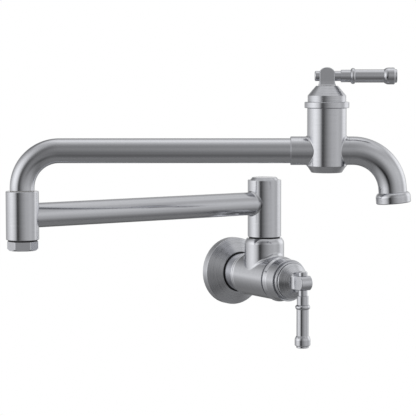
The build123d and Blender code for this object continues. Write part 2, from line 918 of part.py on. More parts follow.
bend_angle = math.radians(spout_bend)
bend_tangent = spout_bend_radius * math.tan(bend_angle / 2)
outlet_way = outer_way * math.cos(bend_angle) - spout.z_dir * math.sin(bend_angle)
bend_corner = spout.origin + outer_way * (spout_bend_start + bend_tangent)
outlet = Plane(
    origin=bend_corner + outlet_way * (bend_tangent + spout_drop),
    x_dir=spout.y_dir,
    z_dir=outlet_way,
)

tube_start = towards_outlet.offset(outlet_boss_reach)
with BuildPart() as spout_tube:
    with BuildLine():
        FilletPolyline(
            tube_start.origin,
            bend_corner,
            outlet.origin + outlet_way * collar_insert,
            radius=spout_bend_radius,
        )
    with BuildSketch(tube_start):
        Circle(spout_radius)
        Circle(spout_radius - spout_wall, mode=Mode.SUBTRACT)
    sweep()
finish(spout_tube, "spout_tube")

collar_bore = spout_radius + thread_gap
washer_end = collar_insert + aerator_washer_thickness
collar_ledge = washer_end + aerator_flange
with BuildPart() as outlet_collar:
    with BuildSketch(section_through(outlet)):
        with BuildLine():
            Polyline(
                (collar_mouth, collar_length),
                (aerator_radius, collar_length),
                (aerator_radius, collar_ledge),
                (collar_bore, collar_ledge),
                (collar_bore, 0),
                (collar_lip, 0),
            )
            TangentArc((collar_crown, collar_crown_station), (collar_lip, 0), tangent=(0, -1))
            Line((collar_crown, collar_crown_station), (collar_crown, collar_skirt_end))
            TangentArc((collar_crown, collar_skirt_end), (collar_mouth, collar_length), tangent=(0, 1))
        make_face()
    revolve(axis=axis_of(outlet))
finish(outlet_collar, "outlet_collar")

aerator_outer = collar_bore - thread_gap
aerator_washer = plain_ring(outlet, collar_insert, washer_end, aerator_outer, aerator_bore)
finish(aerator_washer, "aerator_washer")

aerator_end = collar_length - aerator_recess
aerator_body = turned(
    outlet,
    [
        (aerator_outer, washer_end),
        (aerator_outer, collar_ledge),
        (aerator_radius - thread_gap, collar_ledge),
        (aerator_radius - thread_gap, aerator_end),
        (aerator_bore, aerator_end),
        (aerator_bore, washer_end + screen_thickness),
        (screen_radius + thread_gap, washer_end + screen_thickness),
        (screen_radius + thread_gap, washer_end),
    ],
)
finish(aerator_body, "aerator_body")

with BuildPart() as aerator_screen:
    with BuildSketch(outlet.offset(washer_end)):
        Circle(screen_radius)
        Circle(screen_hole_radius, mode=Mode.SUBTRACT)
        for ring_number in range(1, screen_rings + 1):
            with PolarLocations(ring_number * screen_hole_pitch, 6 * ring_number):
                Circle(screen_hole_radius, mode=Mode.SUBTRACT)
    extrude(amount=screen_thickness)
finish(aerator_screen, "aerator_screen")


# ---------------------------------------------------------------- handles


def make_handle(prefix, seat, hub):
    """Disc, stem and hub, the rod that crosses hub and stem, and the lever's pieces on the rod."""
    lever = Plane(origin=hub.origin, x_dir=hub.z_dir, z_dir=hub.x_dir)
    with BuildPart() as moving_disc:
        with BuildSketch(seat.offset(moving_disc_start)):
            Circle(disc_radius)
            Rectangle(2 * disc_radius, moving_disc_width, mode=Mode.INTERSECT)
        extrude(amount=disc_thickness)
    finish(moving_disc, f"{prefix}_moving_disc")

    stem_length = seat.to_local_coords(hub.origin).Z
    stem_shoulder = stem_length - hub_foot_drop
    stem_tip = stem_length + stem_tip_rise
    with BuildPart() as stem:
        with BuildSketch(section_through(seat)):
            with BuildLine():
                Polyline(
                    (0, moving_disc_end),
                    (disc_radius, moving_disc_end),
                    (disc_radius, stem_foot_end),
                    (stem_radius, stem_foot_end),
                    (stem_radius, stem_shoulder),
                    (stem_tip_radius, stem_shoulder),
                    (stem_tip_radius, stem_tip),
                    (0, stem_tip),
                    close=True,
                )
            make_face()
        revolve(axis=axis_of(seat))
        with BuildSketch(lever):
            Circle(rod_radius + thread_gap)
        extrude(amount=stem_radius, both=True, mode=Mode.SUBTRACT)
    finish(stem, f"{prefix}_stem")

    dome_spring = math.sqrt(hub_dome_radius**2 - hub_half_width**2)
    with BuildPart() as hub_block:
        with BuildSketch(section_through(hub)):
            with BuildLine():
                Polyline(
                    (-hub_half_width, dome_spring),
                    (-hub_half_width, -hub_waist),
                    (hub_half_width, -hub_waist),
                    (hub_half_width, dome_spring),
                )
                ThreePointArc(
                    (hub_half_width, dome_spring),
                    (0, hub_dome_radius),
                    (-hub_half_width, dome_spring),
                )
            make_face()
        extrude(amount=hub_half_depth, both=True)
        upright = hub_block.edges().filter_by(Axis(hub.origin, hub.z_dir))
        dome_rims = hub_block.edges().filter_by(GeomType.CIRCLE)
        fillet(upright + dome_rims, hub_edge)
        for step in range(flare_steps + 1):
            way_down = step / flare_steps
            spread = way_down**2
            with BuildSketch(hub.offset(-hub_waist - way_down * (hub_foot_drop - hub_waist))):
                RectangleRounded(
                    2 * (hub_half_width + spread * (hub_foot_half - hub_half_width)),
                    2 * (hub_half_depth + spread * (hub_foot_half - hub_half_depth)),
                    hub_edge + spread * (hub_foot_corner - hub_edge),
                )
        loft()
        with BuildSketch(hub.offset(-hub_foot_drop)):
            Circle(stem_tip_radius + thread_gap)
        extrude(amount=hub_foot_drop + stem_tip_rise + face_gap, mode=Mode.SUBTRACT)
        with BuildSketch(lever):
            Circle(rod_radius + thread_gap)
        extrude(amount=hub_dome_radius, both=True, mode=Mode.SUBTRACT)
    finish(hub_block, f"{prefix}_hub")

    lever_rod = turned(
        lever,
        [
            (0, -rod_end),
            (rod_radius, -rod_end),
            (rod_radius, hub_half_width),
            (neck_radius_at_hub, hub_half_width),
            (neck_radius_at_hub, neck_end),
            (core_radius, neck_end),
            (core_radius, grip_end + cap_socket),
            (0, grip_end + cap_socket),
        ],
    )
    finish(lever_rod, f"{prefix}_lever_rod")

    nut_start = -hub_half_width
    nut_end = nut_start - lever_nut_length
    lever_nut = turned(
        lever,
        [
            (rod_radius + thread_gap, nut_start),
            (lever_nut_radius, nut_start),
            (lever_nut_radius, nut_end + lever_nut_edge),
            (lever_nut_radius - lever_nut_edge, nut_end),
            (0, nut_end),
            (0, nut_end + lever_nut_floor),
            (rod_radius + thread_gap, nut_end + lever_nut_floor),
        ],
    )
    finish(lever_nut, f"{prefix}_lever_nut")

    core_hole = core_radius + thread_gap
    finish(plain_ring(lever, neck_end, sleeve_end, sleeve_radius, core_hole), f"{prefix}_lever_sleeve")
    bead_middle = (sleeve_end + collar_bead_end) / 2
    with BuildPart() as lever_collar:
        with BuildSketch(section_through(lever)):
            with BuildLine():
                Polyline(
                    (grip_radius, collar_bead_end),
                    (core_hole, collar_bead_end),
                    (core_hole, sleeve_end),
                    (grip_radius, sleeve_end),
                )
                ThreePointArc(
                    (grip_radius, sleeve_end),
                    (collar_bead_radius, bead_middle),
                    (grip_radius, collar_bead_end),
                )
            make_face()
        revolve(axis=axis_of(lever))
    finish(lever_collar, f"{prefix}_lever_collar")
    finish(plain_ring(lever, collar_bead_end, grip_end, grip_radius, core_hole), f"{prefix}_lever_grip")

    flare_end = grip_end + cap_flare
    shoulder_start = flare_end + cap_body_length
    tip_start = shoulder_start + cap_shoulder
    tip_end = tip_start + cap_tip_length
    with BuildPart() as lever_cap:
        with BuildSketch(section_through(lever)):
            with BuildLine():
                TangentArc((cap_crown, flare_end), (grip_radius, grip_end), tangent=(0, -1))
                Polyline(
                    (cap_crown, flare_end),
                    (cap_crown, shoulder_start),
                    (cap_crown - cap_shoulder, tip_start),
                    (cap_tip_radius, tip_start),
                    (cap_tip_radius, tip_end - cap_tip_edge),
                    (cap_tip_radius - cap_tip_edge, tip_end),
                    (0, tip_end),
                    (0, grip_end + cap_socket),
                    (core_hole, grip_end + cap_socket),
                    (core_hole, grip_end),
                    (grip_radius, grip_end),
                )
            make_face()
        revolve(axis=axis_of(lever))
    finish(lever_cap, f"{prefix}_lever_cap")


make_handle("wall", wall_seat, wall_hub)
make_handle("spout", spout_seat, spout_hub)
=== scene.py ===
import math

import bpy
import numpy as np
from mathutils import Matrix


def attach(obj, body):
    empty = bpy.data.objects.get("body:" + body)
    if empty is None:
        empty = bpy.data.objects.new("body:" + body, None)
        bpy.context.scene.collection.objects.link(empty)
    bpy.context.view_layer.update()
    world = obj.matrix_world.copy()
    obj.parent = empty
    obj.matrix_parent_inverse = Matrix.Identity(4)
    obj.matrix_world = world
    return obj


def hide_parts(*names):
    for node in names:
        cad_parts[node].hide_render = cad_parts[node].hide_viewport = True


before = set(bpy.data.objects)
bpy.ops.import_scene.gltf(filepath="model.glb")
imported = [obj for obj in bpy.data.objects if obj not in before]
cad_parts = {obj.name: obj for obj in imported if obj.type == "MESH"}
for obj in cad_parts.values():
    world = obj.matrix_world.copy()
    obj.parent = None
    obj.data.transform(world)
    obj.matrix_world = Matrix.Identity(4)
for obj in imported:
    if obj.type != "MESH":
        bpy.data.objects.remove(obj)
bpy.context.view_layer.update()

mm = 0.001  # in metres
tiny = 1e-9  # keeps a division by a length or a slope away from nothing
endless = 1e6  # a straight run longer than anything here, in millimetres

# the camera stands where the photograph was taken from
shot = {
    "place": (-0.943445, -1.437471, 0.204169),
    "lens": 155.476,
    "sensor": 36.0,
    "clip": (0.05, 60.0),
    "yaw": 32.5485,
    "down": 4.7948,
    "roll": -0.0625,
}
yaw, down, roll = (math.radians(shot[turn]) for turn in ("yaw", "down", "roll"))
forward = np.array([math.sin(yaw) * math.cos(down), math.cos(yaw) * math.cos(down), -math.sin(down)])
level = np.array([math.cos(yaw), -math.sin(yaw), 0.0])
upright = np.cross(level, forward)
right = level * math.cos(roll) + upright * math.sin(roll)
up = upright * math.cos(roll) - level * math.sin(roll)
lens = bpy.data.cameras.new("shotLens")
lens.lens = shot["lens"]
lens.sensor_width = shot["sensor"]
lens.clip_start, lens.clip_end = shot["clip"]
camera = bpy.data.objects.new("shotCamera", lens)
bpy.context.scene.collection.objects.link(camera)
turned = np.eye(4)
turned[:3] = np.stack([right, up, -forward, shot["place"]], 1)
camera.matrix_world = Matrix(turned.tolist())
bpy.context.scene.camera = camera
print("camera: lens", shot["lens"], "mm at", shot["place"])


def newGroup(name, inputs, outputs):
    # an empty node group with named sockets, each (name, kind, value) or (name, kind)
    group = bpy.data.node_groups.new(name, "ShaderNodeTree")
    for socketName, kind, value in inputs:
        socket = group.interface.new_socket(socketName, in_out="INPUT", socket_type=kind)
        if value is not None:
            socket.default_value = value
    for socketName, kind in outputs:
        group.interface.new_socket(socketName, in_out="OUTPUT", socket_type=kind)
    return group, group.nodes.new("NodeGroupInput"), group.nodes.new("NodeGroupOutput")


def mathNode(tree, operation, first, second=None):
    # one math step on one or two numbers or linked sockets
    node = tree.nodes.new("ShaderNodeMath")
    node.operation = operation
    for socket, value in zip(node.inputs, (first, second)):
        if isinstance(value, (int, float)):
            socket.default_value = value
        elif value is not None:
            tree.links.new(value, socket)
    return node.outputs[0]


def makeAroundAxis():
    # UV (turn, run) to a seamless place: (cos turn, sin turn) * Around, run * Across
    group, given, made = newGroup(
        "aroundAxis",
        [
            ("UV", "NodeSocketVector", None),
            ("Around", "NodeSocketFloat", 3.0),
            ("Across", "NodeSocketFloat", 6.0),
        ],
        [("Vector", "NodeSocketVector")],
    )
    split = group.nodes.new("ShaderNodeSeparateXYZ")
    group.links.new(given.outputs["UV"], split.inputs[0])
    angle = mathNode(group, "MULTIPLY", split.outputs[0], 2 * math.pi)
    join = group.nodes.new("ShaderNodeCombineXYZ")
    for axis, operation in enumerate(("COSINE", "SINE")):
        part = mathNode(group, "MULTIPLY", mathNode(group, operation, angle), given.outputs["Around"])
        group.links.new(part, join.inputs[axis])
    group.links.new(mathNode(group, "MULTIPLY", split.outputs[1], given.outputs["Across"]), join.inputs[2])
    group.links.new(join.outputs[0], made.inputs["Vector"])
    return group


brushing = {
    "fineDetail": 3.0,
    "fineRoughness": 0.6,
    "slowScale": 0.12,
    "slowDetail": 2.0,
    "contrast": (0.3, 0.7),  # the fine noise is spread between these two values
    "fineShare": 0.6,  # how much of the roughness is the fine noise; the rest is the slow one
    "bumpDistance": 0.0001,
    "grainTurn": 0.25,  # the highlight lies a quarter turn from the UV's own way
}


def makeBrushMarks():
    # fine noise drawn out along the brushing gives tone, roughness and bump; a slow noise adds handling
    # marks to the roughness
    group, given, made = newGroup(
        "brushMarks",
        [
            ("Vector", "NodeSocketVector", None),
            ("Fineness", "NodeSocketFloat", 1.0),
            ("Depth", "NodeSocketFloat", 0.02),
            ("Dark", "NodeSocketColor", (0.5, 0.5, 0.5, 1)),
            ("Light", "NodeSocketColor", (0.6, 0.6, 0.6, 1)),
            ("Smooth", "NodeSocketFloat", 0.2),
            ("Rough", "NodeSocketFloat", 0.3),
        ],
        [("Color", "NodeSocketColor"), ("Roughness", "NodeSocketFloat"), ("Normal", "NodeSocketVector")],
    )
    fine = group.nodes.new("ShaderNodeTexNoise")
    fine.inputs["Detail"].default_value = brushing["fineDetail"]
    fine.inputs["Roughness"].default_value = brushing["fineRoughness"]
    slow = group.nodes.new("ShaderNodeTexNoise")
    slow.inputs["Scale"].default_value = brushing["slowScale"]
    slow.inputs["Detail"].default_value = brushing["slowDetail"]
    for noise in (fine, slow):
        group.links.new(given.outputs["Vector"], noise.inputs["Vector"])
    group.links.new(given.outputs["Fineness"], fine.inputs["Scale"])
    streaks = group.nodes.new("ShaderNodeMapRange")
    streaks.interpolation_type = "SMOOTHSTEP"
    streaks.inputs["From Min"].default_value, streaks.inputs["From Max"].default_value = brushing["contrast"]
    group.links.new(fine.outputs["Fac"], streaks.inputs["Value"])
    tone = group.nodes.new("ShaderNodeMix")
    tone.data_type = "RGBA"
    group.links.new(streaks.outputs[0], tone.inputs[0])
    # a mix node's colours go in at sockets 6 and 7 and come out at 2
    group.links.new(given.outputs["Dark"], tone.inputs[6])
    group.links.new(given.outputs["Light"], tone.inputs[7])
    group.links.new(tone.outputs[2], made.inputs["Color"])
    worn = mathNode(group, "ADD", mathNode(group, "MULTIPLY", streaks.outputs[0], brushing["fineShare"]),
                    mathNode(group, "MULTIPLY", slow.outputs["Fac"], 1 - brushing["fineShare"]))
    spread = group.nodes.new("ShaderNodeMapRange")
    group.links.new(worn, spread.inputs["Value"])
    group.links.new(given.outputs["Smooth"], spread.inputs["To Min"])
    group.links.new(given.outputs["Rough"], spread.inputs["To Max"])
    group.links.new(spread.outputs[0], made.inputs["Roughness"])
    bump = group.nodes.new("ShaderNodeBump")
    bump.inputs["Distance"].default_value = brushing["bumpDistance"]
    group.links.new(given.outputs["Depth"], bump.inputs["Strength"])
    group.links.new(fine.outputs["Fac"], bump.inputs["Height"])
    group.links.new(bump.outputs[0], made.inputs["Normal"])
    return group


aroundAxis = makeAroundAxis()
brushMarks = makeBrushMarks()


def makeFinish(name, marks, metallic=0.0, turnedUv=None, stretch=(1, 1, 1)):
    # one Principled finish whose tone, roughness and bump come from brushMarks, laid out by the UV map of
    # turned pieces where turnedUv is given, with the long highlight of turned metal, and by Object
    # coordinates where it isn't
    finish = bpy.data.materials.new(name)
    finish.use_nodes = True
    tree = finish.node_tree
    shader = tree.nodes["Principled BSDF"]
    shader.inputs["Metallic"].default_value = metallic
    grain = tree.nodes.new("ShaderNodeGroup")
    grain.node_tree = brushMarks
    for socketName, value in marks.items():
        grain.inputs[socketName].default_value = value
    if turnedUv:
        source = tree.nodes.new("ShaderNodeUVMap")
        source.uv_map = "turned"
        wrap = tree.nodes.new("ShaderNodeGroup")
        wrap.node_tree = aroundAxis
        wrap.inputs["Around"].default_value = turnedUv["around"]
        wrap.inputs["Across"].default_value = turnedUv["across"]
        tree.links.new(source.outputs[0], wrap.inputs["UV"])
        tree.links.new(wrap.outputs[0], grain.inputs["Vector"])
        tangent = tree.nodes.new("ShaderNodeTangent")
        tangent.direction_type = "UV_MAP"
        tangent.uv_map = "turned"
        tree.links.new(tangent.outputs[0], shader.inputs["Tangent"])
        shader.inputs["Anisotropic"].default_value = turnedUv["anisotropic"]
        shader.inputs["Anisotropic Rotation"].default_value = brushing["grainTurn"]
    else:
        source = tree.nodes.new("ShaderNodeTexCoord")
        mapping = tree.nodes.new("ShaderNodeMapping")
        mapping.inputs["Scale"].default_value = stretch
        tree.links.new(source.outputs["Object"], mapping.inputs["Vector"])
        tree.links.new(mapping.outputs[0], grain.inputs["Vector"])
    tree.links.new(grain.outputs["Color"], shader.inputs["Base Color"])
    tree.links.new(grain.outputs["Roughness"], shader.inputs["Roughness"])
    tree.links.new(grain.outputs["Normal"], shader.inputs["Normal"])
    return finish


steelTones = {"Dark": (0.54, 0.547, 0.575, 1), "Light": (0.59, 0.597, 0.627, 1)}
turnedSteel = makeFinish(
    "turnedSteel",
    {"Dark": (0.53, 0.537, 0.565, 1), "Light": (0.6, 0.607, 0.637, 1), "Fineness": 1.0, "Depth": 0.01,
     "Smooth": 0.13, "Rough": 0.2},
    metallic=1.0,
    turnedUv={"around": 1.0, "across": 4.0, "anisotropic": 0.4},
)
tubeSteel = makeFinish(
    "tubeSteel",
    {**steelTones, "Fineness": 1.0, "Depth": 0.01, "Smooth": 0.13, "Rough": 0.2},
    metallic=1.0,
    turnedUv={"around": 3.0, "across": 5.0, "anisotropic": 0.25},
)
facedSteel = makeFinish(
    "facedSteel",
    {"Dark": (0.5, 0.507, 0.533, 1), "Light": (0.63, 0.638, 0.67, 1), "Fineness": 1.0, "Depth": 0.012,
     "Smooth": 0.23, "Rough": 0.31},
    metallic=1.0,
    turnedUv={"around": 0.6, "across": 2.5, "anisotropic": 0.4},
)
leverSteel = makeFinish(
    "leverSteel",
    {**steelTones, "Fineness": 1.0, "Depth": 0.004, "Smooth": 0.1, "Rough": 0.16},
    metallic=1.0,
    turnedUv={"around": 2.0, "across": 7.0, "anisotropic": 0.3},
)
blockSteel = makeFinish(
    "blockSteel",
    {**steelTones, "Fineness": 1.0, "Depth": 0.012, "Smooth": 0.15, "Rough": 0.22},
    metallic=1.0,
    stretch=(600, 600, 6000),
)
brassInside = makeFinish(
    "brassInside",
    {"Dark": (0.55, 0.36, 0.14, 1), "Light": (0.72, 0.5, 0.22, 1), "Fineness": 1.0, "Depth": 0.05,
     "Smooth": 0.25, "Rough": 0.4},
    metallic=1.0,
    stretch=(900, 900, 3000),
)
steelInside = makeFinish(
    "steelInside",
    {"Dark": (0.42, 0.42, 0.41, 1), "Light": (0.55, 0.55, 0.54, 1), "Fineness": 1.0, "Depth": 0.05,
     "Smooth": 0.25, "Rough": 0.4},
    metallic=1.0,
    stretch=(900, 900, 3000),
)
blackRubber = makeFinish(
    "blackRubber",
    {"Dark": (0.008, 0.008, 0.008, 1), "Light": (0.02, 0.02, 0.02, 1), "Fineness": 1.0, "Depth": 0.1,
     "Smooth": 0.6, "Rough": 0.8},
    stretch=(2500, 2500, 2500),
)
whiteWasher = makeFinish(
    "whiteWasher",
    {"Dark": (0.62, 0.61, 0.58, 1), "Light": (0.75, 0.74, 0.71, 1), "Fineness": 1.0, "Depth": 0.05,
     "Smooth": 0.45, "Rough": 0.6},
    stretch=(1500, 1500, 1500),
)
discCeramic = makeFinish(
    "discCeramic",
    {"Dark": (0.6, 0.6, 0.58, 1), "Light": (0.8, 0.8, 0.78, 1), "Fineness": 1.0, "Depth": 0.02,
     "Smooth": 0.15, "Rough": 0.25},
    stretch=(1200, 1200, 1200),
)
screenPlastic = makeFinish(
    "screenPlastic",
    {"Dark": (0.2, 0.2, 0.2, 1), "Light": (0.3, 0.3, 0.3, 1), "Fineness": 1.0, "Depth": 0.04,
     "Smooth": 0.4, "Rough": 0.55},
    stretch=(1500, 1500, 1500),
)

# every carried-over solid takes the finish of its record slot
slotFinishes = {
    "brushed_steel_body": blockSteel,
    "brushed_steel_tube": blockSteel,
    "brushed_steel_trim": blockSteel,
    "brass_inside": brassInside,
    "steel_inside": steelInside,
    "black_rubber": blackRubber,
    "black_washer": blackRubber,
    "white_washer": whiteWasher,
    "disc_ceramic": discCeramic,
    "screen_plastic": screenPlastic,
}
platedNodes = ("wall_stem", "spout_stem")  # plated brass, seen through the thin gap under each hub
for nodeName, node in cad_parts.items():
    for place in node.material_slots:
        slotName = place.material.name.split(".")[0]
        place.material = steelInside if nodeName in platedNodes else slotFinishes[slotName]
print("finishes:", len(slotFinishes), "record slots dressed")


def roundedOutline(corners, steps=4, closed=True, slack=0.999):
    # corners are (radius, station, rounding); each becomes an arc that touches both of its sides, where
    # point = centre + rounding * normal, and the normal swings from one side's normal to the next one's.
    # Where two arcs would overlap on a side they are shrunk to just under its length
    given = np.array(corners, float)
    place, rounding = given[:, :2], given[:, 2]
    leaving = np.roll(place, -1, 0) - place
    if not closed:
        leaving[-1] = leaving[-2]
    arriving = np.roll(leaving, 1, 0)
    if not closed:
        arriving[0] = leaving[0]
    sideLength = np.hypot(*leaving.T)
    heading = np.arctan2(arriving[:, 1], arriving[:, 0])
    turn = np.arctan2(leaving[:, 1], leaving[:, 0]) - heading
    turn = (turn + math.pi) % (2 * math.pi) - math.pi
    slope = np.tan(np.abs(turn) / 2)
    reach = rounding * slope
    crowd = np.minimum(1, sideLength / np.maximum(reach + np.roll(reach, -1), tiny))
    reach = reach * np.minimum(crowd, np.roll(crowd, 1)) * slack
    rounding = reach / np.maximum(slope, tiny)
    swing = heading[:, None] + turn[:, None] * np.linspace(0, 1, steps + 1)
    normal = np.stack([np.sin(swing), -np.cos(swing)], -1)
    bend = (np.sign(turn) * rounding)[:, None, None]
    unit = arriving / np.maximum(np.hypot(*arriving.T), tiny)[:, None]
    start = (place - unit * reach[:, None])[:, None]
    point = start + bend * (normal - normal[:, :1])
    if closed:
        point, normal = point.reshape(-1, 2), normal.reshape(-1, 2)
    else:
        point = np.concatenate([point[0, :1], point[1:-1].reshape(-1, 2), point[-1, -1:]])
        normal = np.concatenate([normal[0, :1], normal[1:-1].reshape(-1, 2), normal[-1, -1:]])
    return np.concatenate([point, normal], 1)


def straightLine(at, along, side):
    # an axis with the direction that its angles are counted from
    return {"at": np.array(at, float), "along": np.array(along, float), "side": np.array(side, float),
            "lead": endless, "radius": 1.0, "angle": 0.0}


def framesOn(line, stations):
    # straight for lead, an arc of radius towards side by angle, then straight again:
    # turn = (station - lead) / radius held between 0 and angle, and the place sums the three runs
    stations = np.asarray(stations, float)[..., None]
    along, side, radius = line["along"], line["side"], line["radius"]
    turn = np.clip((stations - line["lead"]) / radius, 0, line["angle"])
    lead = np.minimum(stations, line["lead"])
    rest = np.maximum(stations - line["lead"] - radius * line["angle"], 0)
    heading = np.cos(turn) * along + np.sin(turn) * side
    inward = np.cos(turn) * side - np.sin(turn) * along
    place = line["at"] + lead * along + rest * heading
    place = place + radius * (np.sin(turn) * along + (1 - np.cos(turn)) * side)
    return place, heading, inward, np.cross(heading, inward)


def gridSurface(points, normals, loop=True, poles=()):
    # points[i, a] with i along the outline and a round the axis; four neighbours make one outward face,
    # and a pole closes the first or last row with a fan. UV is (turn, run), the run in millimetres
    rows, columns = points.shape[:2]
    index = np.arange(rows * columns).reshape(rows, columns)
    index = np.concatenate([index, index[:, :1]], 1)
    step = np.linalg.norm(np.diff(points, axis=0, append=points[:1]), axis=2).max(1)
    run = np.concatenate([[0], np.cumsum(step)])
    if loop:
        index = np.concatenate([index, index[:1]], 0)
    else:
        run = run[:-1]
    turn, run = np.meshgrid(np.linspace(0, 1, columns + 1), run)
    uv = np.stack([turn, run], -1)
    corners = [(slice(None, -1), slice(None, -1)), (slice(None, -1), slice(1, None)),
               (slice(1, None), slice(1, None)), (slice(1, None), slice(None, -1))]
    faces = [np.stack([index[c] for c in corners], -1).reshape(-1, 4)]
    uvs = [np.stack([uv[c] for c in corners], 2).reshape(-1, 2)]
    vertices, vertexNormals = [points.reshape(-1, 3)], [normals.reshape(-1, 3)]
    for number, (end, place, normal) in enumerate(poles):
        tip = np.full(columns, rows * columns + number)
        ring, ringUv = index[end], uv[end]
        tipUv = (ringUv[:-1] + ringUv[1:]) / 2
        if end == 0:
            order, orderUv = [tip, ring[1:], ring[:-1]], [tipUv, ringUv[1:], ringUv[:-1]]
        else:
            order, orderUv = [ring[:-1], ring[1:], tip], [ringUv[:-1], ringUv[1:], tipUv]
        faces.append(np.stack(order, -1))
        uvs.append(np.stack(orderUv, 1).reshape(-1, 2))
        vertices.append(np.array([place]))
        vertexNormals.append(np.array([normal]))
    return {"vertices": np.concatenate(vertices), "normals": np.concatenate(vertexNormals),
            "faces": faces, "uvs": np.concatenate(uvs)}


def turnedSurface(line, outline, around, loop=True):
    # a round section carried along a line: place + radius * (inward cos a + other sin a)
    radius, station, radial, axial = outline.T
    place, heading, inward, other = framesOn(line, station)
    ends = []
    if not loop:  # an outline from axis to axis ends in two poles
        ends = [(0, place[0], -heading[0]), (-1, place[-1], heading[-1])]
        radius, radial, axial = radius[1:-1], radial[1:-1], axial[1:-1]
        place, heading, inward, other = place[1:-1], heading[1:-1], inward[1:-1], other[1:-1]
    angle = np.linspace(0, 2 * math.pi, around, endpoint=False)[None, :, None]
    outward = inward[:, None] * np.cos(angle) + other[:, None] * np.sin(angle)
    points = place[:, None] + radius[:, None, None] * outward
    normals = radial[:, None, None] * outward + axial[:, None, None] * heading[:, None]
    return gridSurface(points, normals, loop, ends)


def makePiece(name, surfaces, finish, body, stoodFor):
    mesh = bpy.data.meshes.new(name)
    counts = np.cumsum([0] + [len(surface["vertices"]) for surface in surfaces])
    faces = [face for surface, first in zip(surfaces, counts) for part in surface["faces"]
             for face in (part + first).tolist()]
    vertices = np.concatenate([surface["vertices"] for surface in surfaces]) * mm
    mesh.from_pydata(vertices.tolist(), [], faces)
    uvMap = mesh.uv_layers.new(name="turned")
    uvMap.data.foreach_set("uv", np.concatenate([surface["uvs"] for surface in surfaces]).ravel())
    mesh.shade_smooth()
    normals = np.concatenate([surface["normals"] for surface in surfaces])
    normals = normals / np.linalg.norm(normals, axis=1)[:, None]
    mesh.normals_split_custom_set_from_vertices(normals.tolist())
    mesh.materials.append(finish)
    piece = bpy.data.objects.new(name, mesh)
    bpy.context.scene.collection.objects.link(piece)
    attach(piece, body)
    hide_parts(*stoodFor)
    print("piece:", name, len(mesh.polygons), "faces")


def makeTurned(name, line, shape, finish, body, node):
    # a piece turned from one rounded outline; an open outline runs from axis to axis
    closed = shape.get("closed", True)
    outline = roundedOutline(shape["outline"], shape.get("steps", 4), closed)
    surface = turnedSurface(line, outline, shape["around"], closed)
    makePiece(name, [surface], finish, body, [node])


# where things stand, in millimetres and degrees, as in the solids
layout = {
    "postReach": 57.2,
    "innerArm": 251.4,
    "outerArm": 260.6,
    "armHeight": 68.7,
    "armRise": 56.0,
    "fold": 33.5,
}
fold = math.radians(layout["fold"])
outerWay = np.array([math.cos(fold), -math.sin(fold), 0.0])
acrossOuter = np.array([math.sin(fold), math.cos(fold), 0.0])
postFoot = np.array([0.0, -layout["postReach"], 0.0])
knuckleFoot = postFoot - [layout["innerArm"], 0, 0]
armLevel = layout["armHeight"] + layout["armRise"]
spoutFoot = knuckleFoot + layout["outerArm"] * outerWay + [0, 0, armLevel]
inletLine = straightLine((0, 0, 0), (0, -1, 0), (0, 0, -1))
postLine = straightLine(postFoot, (0, 0, 1), (0, 1, 0))
knuckleLine = straightLine(knuckleFoot, (0, 0, 1), (0, 1, 0))
spoutLine = straightLine(spoutFoot, (0, 0, 1), (0, 1, 0))

flange = {
    "outline": [
        (32, 0, 0.2), (32, 7.5, 0.6), (19, 16.5, 0.4), (19, 10.5, 0.2), (21.5, 10.5, 0.2),
        (21.5, 12.5, 0.3), (29.8, 5.3, 0.3), (29.8, 0, 0.2),
    ],
    "around": 160,
}
makeTurned("wallFlange", inletLine, flange, facedSteel, "wall_valve", "wall_flange")


def branchSurface(line, mainRadius, branch):
    # a round branch that rises from a cylinder through a rolled blend: the ball of radius b that rolls in
    # the corner has its centre at ((r + b) cos a, (r + b) sin a, sqrt((R + b)^2 - ((r + b) cos a)^2)),
    # touches the branch at radius r and the cylinder at R / (R + b) of its distance, and the blend swings
    # between the two; below it the skin sinks straight into the cylinder. The line's side, from which a is
    # counted, lies square across the cylinder
    radius, ball, sink = branch["radius"], branch["blend"], branch["sink"]
    angle = np.linspace(0, 2 * math.pi, branch["around"], endpoint=False)
    ring = np.stack([np.cos(angle), np.sin(angle), 0 * angle], -1)
    across = (radius + ball) * np.cos(angle)
    centre = (radius + ball) * ring
    centre[:, 2] = np.sqrt((mainRadius + ball) ** 2 - across**2)
    toMain = -np.stack([centre[:, 0], 0 * angle, centre[:, 2]], -1) / (mainRadius + ball)
    toBranch = -ring
    between = np.arccos(np.clip((toMain * toBranch).sum(1), -1, 1))[:, None]
    share = np.linspace(0, 1, branch["blendSteps"] + 1)[:, None, None]
    swung = (np.sin((1 - share) * between) * toMain + np.sin(share * between) * toBranch) / np.sin(between)
    blend, blendNormal = centre + ball * swung, -swung
    sunk = blend[:1] + sink * toMain
    radial, station, outward, axial = roundedOutline(branch["outline"], closed=False).T
    rise = radial[:, None, None] * ring + station[:, None, None] * np.array([0, 0, 1])
    riseNormal = outward[:, None, None] * ring + axial[:, None, None] * np.array([0, 0, 1])
    points = np.concatenate([sunk, blend, rise])
    normals = np.concatenate([blendNormal[:1], blendNormal, riseNormal])
    axes = np.stack([line["side"], np.cross(line["along"], line["side"]), line["along"]])
    return gridSurface(line["at"] + points @ axes, normals @ axes)


